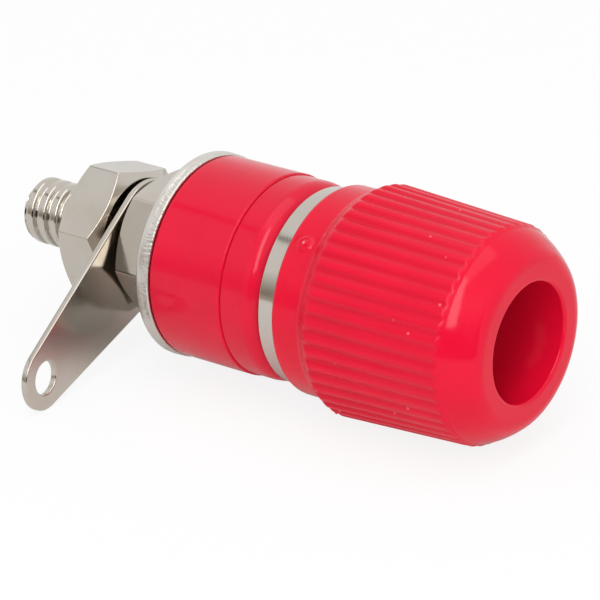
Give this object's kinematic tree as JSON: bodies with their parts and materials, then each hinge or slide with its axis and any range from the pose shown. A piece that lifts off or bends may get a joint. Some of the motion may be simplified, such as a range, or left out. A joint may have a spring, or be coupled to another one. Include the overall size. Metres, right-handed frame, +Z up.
{
  "type": "panel binding post with banana plug socket",
  "caption": "Red insulated panel binding post: a ribbed screw cap on a threaded stem with a plug socket, a collar, a split insulating body, washer, hex nuts and a solder tag on a rear stud.",
  "frame": {"origin": "on the post's axis, in the plane where the front insulator seats on the panel", "axes": "+Y runs along the axis from the cap to the rear stud, +Z is up and +X is to the right as seen from the cap's side"},
  "size_m": [0.0198, 0.0356, 0.0136],
  "materials": {
    "cap_plastic": "glossy moulded red",
    "body_plastic": "satin moulded red",
    "nickel_brass": "nickel plated, bright",
    "plated_steel": "nickel plated, punched"
  },
  "bodies": {
    "post": {"socket_post": "nickel_brass", "front_insulator": "body_plastic", "rear_insulator": "body_plastic", "flat_washer": "plated_steel", "clamp_nut": "nickel_brass", "solder_tag": "nickel_brass", "lock_nut": "nickel_brass"},
    "bush": {"cap_bush": "nickel_brass"},
    "cap": {"cap": "cap_plastic"}
  },
  "joints": [
    {"name": "cap_travel", "type": "slide", "parent": "post", "child": "bush", "axis": [0, -1, 0], "range_m": [0, 0.005]},
    {"name": "cap_turn", "type": "hinge", "parent": "bush", "child": "cap", "pos_m": [0, -0.0038, 0], "axis": [0, -1, 0], "range_deg": [0, 1800]}
  ],
  "couplings": [
    {"joint": "cap_turn", "follows": "cap_travel", "rad_per_m": 6283.2}
  ]
}
